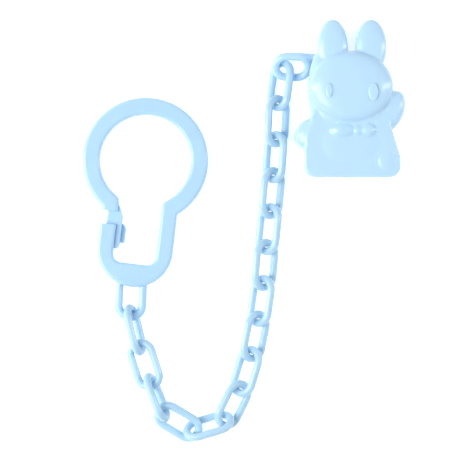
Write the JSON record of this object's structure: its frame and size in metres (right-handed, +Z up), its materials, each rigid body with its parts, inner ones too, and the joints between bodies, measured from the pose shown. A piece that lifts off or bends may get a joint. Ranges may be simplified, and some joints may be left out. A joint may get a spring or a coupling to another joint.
{
  "type": "pacifier holder chain",
  "caption": "Plastic holder chain for a pacifier: a flexible snap ring, a chain of loose oval links and a sprung clip whose front jaw is a rabbit figure.",
  "frame": {"origin": "centre of the footprint of the whole arrangement, at the table's level", "axes": "+Z up from the table, out of the rabbit's front; +Y from the bend of the chain towards the rabbit's ears; +X from the snap ring towards the clip"},
  "size_m": [0.103, 0.1352, 0.0156],
  "materials": {
    "ring_blue": "glossy moulded, light blue",
    "link_blue": "glossy moulded, light blue",
    "clip_blue": "glossy moulded, light blue",
    "spring_steel": "drawn steel wire"
  },
  "bodies": {
    "clip_back": {"clip_back": "clip_blue", "hinge_pin": "spring_steel", "clip_spring": "spring_steel"},
    "clip_front": {"clip_front": "clip_blue"},
    "link_01": {"link_01": "link_blue"},
    "link_02": {"link_02": "link_blue"},
    "link_03": {"link_03": "link_blue"},
    "link_04": {"link_04": "link_blue"},
    "link_05": {"link_05": "link_blue"},
    "link_06": {"link_06": "link_blue"},
    "link_07": {"link_07": "link_blue"},
    "link_08": {"link_08": "link_blue"},
    "link_09": {"link_09": "link_blue"},
    "link_10": {"link_10": "link_blue"},
    "link_11": {"link_11": "link_blue"},
    "link_12": {"link_12": "link_blue"},
    "link_13": {"link_13": "link_blue"},
    "link_14": {"link_14": "link_blue"},
    "link_15": {"link_15": "link_blue"},
    "ring_frame": {"ring_frame": "ring_blue"},
    "ring_arm": {"ring_arm": "ring_blue"}
  },
  "joints": [
    {"name": "link_01_swing", "type": "hinge", "parent": "clip_back", "child": "link_01", "pos_m": [0.01278, 0.05391, 0.00384], "axis": [-0.7123, 0.1001, -0.6947], "range_deg": [0, 45]},
    {"name": "link_02_swing", "type": "hinge", "parent": "link_01", "child": "link_02", "pos_m": [0.01077, 0.0396, 0.00384], "axis": [-0.7123, 0.1001, -0.6947], "range_deg": [-10, 45]},
    {"name": "link_03_swing", "type": "hinge", "parent": "link_02", "child": "link_03", "pos_m": [0.01029, 0.02805, 0.00369], "axis": [0.7537, -0.0395, -0.6561], "range_deg": [-25, 45]},
    {"name": "link_04_swing", "type": "hinge", "parent": "link_03", "child": "link_04", "pos_m": [0.00946, 0.01653, 0.00393], "axis": [0.693, -0.0485, 0.7193], "range_deg": [-45, 45]},
    {"name": "link_05_swing", "type": "hinge", "parent": "link_04", "child": "link_05", "pos_m": [0.00843, 0.00503, 0.00374], "axis": [-0.7403, 0.0648, 0.6691], "range_deg": [-45, 45]},
    {"name": "link_06_swing", "type": "hinge", "parent": "link_05", "child": "link_06", "pos_m": [0.0072, -0.00646, 0.00374], "axis": [-0.7391, 0.0777, -0.6691], "range_deg": [-45, 45]},
    {"name": "link_07_swing", "type": "hinge", "parent": "link_06", "child": "link_07", "pos_m": [0.00622, -0.01796, 0.0036], "axis": [0.7742, -0.0677, -0.6293], "range_deg": [-45, 45]},
    {"name": "link_08_swing", "type": "hinge", "parent": "link_07", "child": "link_08", "pos_m": [0.00453, -0.02939, 0.00369], "axis": [0.7474, -0.105, 0.6561], "range_deg": [-45, 45]},
    {"name": "link_09_swing", "type": "hinge", "parent": "link_08", "child": "link_09", "pos_m": [0.00226, -0.04072, 0.0036], "axis": [-0.7629, 0.1483, 0.6293], "range_deg": [-45, 45]},
    {"name": "link_10_swing", "type": "hinge", "parent": "link_09", "child": "link_10", "pos_m": [-0.00127, -0.05172, 0.00375], "axis": [-0.7536, 0.2304, -0.6157], "range_deg": [-45, 25]},
    {"name": "link_11_swing", "type": "hinge", "parent": "link_10", "child": "link_11", "pos_m": [-0.00654, -0.06201, 0.00334], "axis": [0.7451, -0.3634, -0.5592], "range_deg": [-45, 25]},
    {"name": "link_12_swing", "type": "hinge", "parent": "link_11", "child": "link_12", "pos_m": [-0.01808, -0.06429, 0.00458], "axis": [0.18, -0.5888, 0.788], "range_deg": [-5, 45]},
    {"name": "link_13_swing", "type": "hinge", "parent": "link_12", "child": "link_13", "pos_m": [-0.02719, -0.05725, 0.00359], "axis": [0.487, 0.8105, 0.3256], "range_deg": [-45, 45]},
    {"name": "link_14_swing", "type": "hinge", "parent": "link_13", "child": "link_14", "pos_m": [-0.03046, -0.04636, 0.00481], "axis": [0.2556, 0.1033, -0.9613], "range_deg": [-45, 10]},
    {"name": "link_15_swing", "type": "hinge", "parent": "link_14", "child": "link_15", "pos_m": [-0.03379, -0.03572, 0.00477], "axis": [-0.9095, -0.2955, -0.2924], "range_deg": [-45, 45]},
    {"name": "ring_swing", "type": "hinge", "parent": "link_15", "child": "ring_frame", "pos_m": [-0.03649, -0.02448, 0.00477], "axis": [-0.2998, -0.0748, 0.9511], "range_deg": [-15, 45]},
    {"name": "ring_flex", "type": "hinge", "parent": "ring_frame", "child": "ring_arm", "pos_m": [-0.02942, 0.03989, 0.00252], "axis": [0.0032, 0.0277, 0.9996], "range_deg": [0, 12], "stiffness_Nm_per_rad": 0.8},
    {"name": "jaw", "type": "hinge", "parent": "clip_back", "child": "clip_front", "pos_m": [0.03398, 0.04971, 0.0062], "axis": [-1, 0, 0], "range_deg": [0, 12], "stiffness_Nm_per_rad": 0.25, "springref_deg": -22.92, "deforming": ["clip_spring"]}
  ]
}
